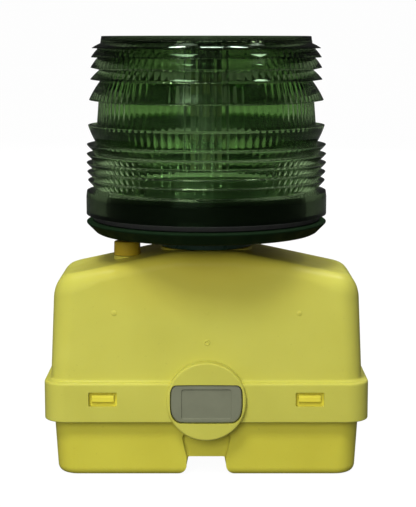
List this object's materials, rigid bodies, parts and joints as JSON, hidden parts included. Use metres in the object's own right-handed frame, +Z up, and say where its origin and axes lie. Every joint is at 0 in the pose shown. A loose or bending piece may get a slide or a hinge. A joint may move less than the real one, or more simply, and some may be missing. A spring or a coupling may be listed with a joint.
{
  "type": "portable traffic light",
  "caption": "Portable battery lamp: a green Fresnel drum lens turns and locks on a yellow plastic case whose upper half lifts off the battery tray.",
  "frame": {"origin": "on the ground, under the middle of the case and the lens axis", "axes": "+X to the right seen from the front, +Y to the back, +Z up; the front with the latch faces -Y"},
  "size_m": [0.197, 0.148, 0.2653],
  "materials": {
    "tray_yellow": "moulded polypropylene, low sheen",
    "case_yellow": "moulded polypropylene, low sheen",
    "tab_yellow": "moulded plastic, slightly deeper yellow",
    "knob_yellow": "moulded plastic",
    "battery_jacket": "printed wrap with no marks",
    "battery_cover": "matt moulded cover",
    "spring_steel": "plated spring steel",
    "screw_steel": "zinc plated",
    "stem_steel": "zinc plated",
    "gasket_rubber": "soft black rubber",
    "latch_grey": "grey moulded plastic, worn",
    "circuit_board": "glass-fibre board with green mask",
    "contact_brass": "brass",
    "switch_black": "black moulded housing",
    "neck_dark_green": "dark green plastic",
    "dish_green": "clear green plastic",
    "lens_green": "clear green moulded lens with prism rings",
    "lamp_black": "black moulded drum",
    "lamp_white": "off-white moulding",
    "led_emitter": "LED package",
    "capacitor_sleeve": "shrink sleeve",
    "lead_red": "insulated wire",
    "lead_black": "insulated wire"
  },
  "bodies": {
    "tray": {"battery_tray": "tray_yellow", "battery_left": "battery_jacket", "battery_left_top": "battery_cover", "spring_left_centre": "spring_steel", "spring_left_corner": "spring_steel", "battery_right": "battery_jacket", "battery_right_top": "battery_cover", "spring_right_centre": "spring_steel", "spring_right_corner": "spring_steel"},
    "case": {"upper_case": "case_yellow", "case_gasket": "gasket_rubber", "latch_spring": "spring_steel", "latch_bracket": "spring_steel", "latch_screw_left": "screw_steel", "latch_screw_right": "screw_steel", "contact_board": "circuit_board", "contact_left": "contact_brass", "contact_right": "contact_brass", "contact_link": "contact_brass", "board_screw_1": "screw_steel", "board_screw_2": "screw_steel", "board_screw_3": "screw_steel", "board_screw_4": "screw_steel", "switch_body": "switch_black", "neck_collar": "neck_dark_green", "neck_stem": "stem_steel", "neck_nut": "stem_steel", "dish_nut": "stem_steel", "lens_dish": "dish_green", "lens_gasket": "gasket_rubber", "lamp_base": "lamp_black", "base_screw_1": "screw_steel", "standoff_1": "lamp_white", "base_screw_2": "screw_steel", "standoff_2": "lamp_white", "base_screw_3": "screw_steel", "standoff_3": "lamp_white", "led_board": "lamp_white", "driver_cover": "lamp_white", "led_tower": "lamp_white", "tower_cap": "lamp_white", "led_1": "led_emitter", "led_2": "led_emitter", "led_3": "led_emitter", "led_4": "led_emitter", "led_5": "led_emitter", "led_6": "led_emitter", "driver_board": "circuit_board", "driver_capacitor": "capacitor_sleeve", "driver_inductor": "contact_brass", "lead_red": "lead_red", "lead_black": "lead_black"},
    "lens": {"lens": "lens_green"},
    "switch": {"switch_knob": "knob_yellow"},
    "latch": {"latch_button": "latch_grey"},
    "snap_tab_front_left": {"snap_tab_front_left": "tab_yellow"},
    "snap_tab_front_right": {"snap_tab_front_right": "tab_yellow"},
    "snap_tab_rear_left": {"snap_tab_rear_left": "tab_yellow"},
    "snap_tab_rear_right": {"snap_tab_rear_right": "tab_yellow"}
  },
  "joints": [
    {"name": "case_lift", "type": "slide", "parent": "tray", "child": "case", "axis": [0, 0, 1], "range_m": [0, 0.11]},
    {"name": "lens_turn", "type": "hinge", "parent": "case", "child": "lens", "pos_m": [0, 0, 0.155], "axis": [0, 0, 1], "range_deg": [0, 30]},
    {"name": "switch_turn", "type": "hinge", "parent": "case", "child": "switch", "pos_m": [-0.049, -0.0035, 0.136], "axis": [0, 0, 1], "range_deg": [0, 90]},
    {"name": "latch_press", "type": "slide", "parent": "case", "child": "latch", "axis": [0, 1, 0], "range_m": [0, 0.0016], "stiffness_N_per_m": 900, "deforming": ["latch_spring"]},
    {"name": "tab_front_left_flex", "type": "hinge", "parent": "tray", "child": "snap_tab_front_left", "pos_m": [-0.0623, -0.0396, 0.0394], "axis": [1, 0, 0], "range_deg": [-6, 0], "stiffness_Nm_per_rad": 0.5},
    {"name": "tab_front_right_flex", "type": "hinge", "parent": "tray", "child": "snap_tab_front_right", "pos_m": [0.0623, -0.0396, 0.0394], "axis": [1, 0, 0], "range_deg": [-6, 0], "stiffness_Nm_per_rad": 0.5},
    {"name": "tab_rear_left_flex", "type": "hinge", "parent": "tray", "child": "snap_tab_rear_left", "pos_m": [-0.0623, 0.0396, 0.0394], "axis": [1, 0, 0], "range_deg": [0, 6], "stiffness_Nm_per_rad": 0.5},
    {"name": "tab_rear_right_flex", "type": "hinge", "parent": "tray", "child": "snap_tab_rear_right", "pos_m": [0.0623, 0.0396, 0.0394], "axis": [1, 0, 0], "range_deg": [0, 6], "stiffness_Nm_per_rad": 0.5}
  ]
}
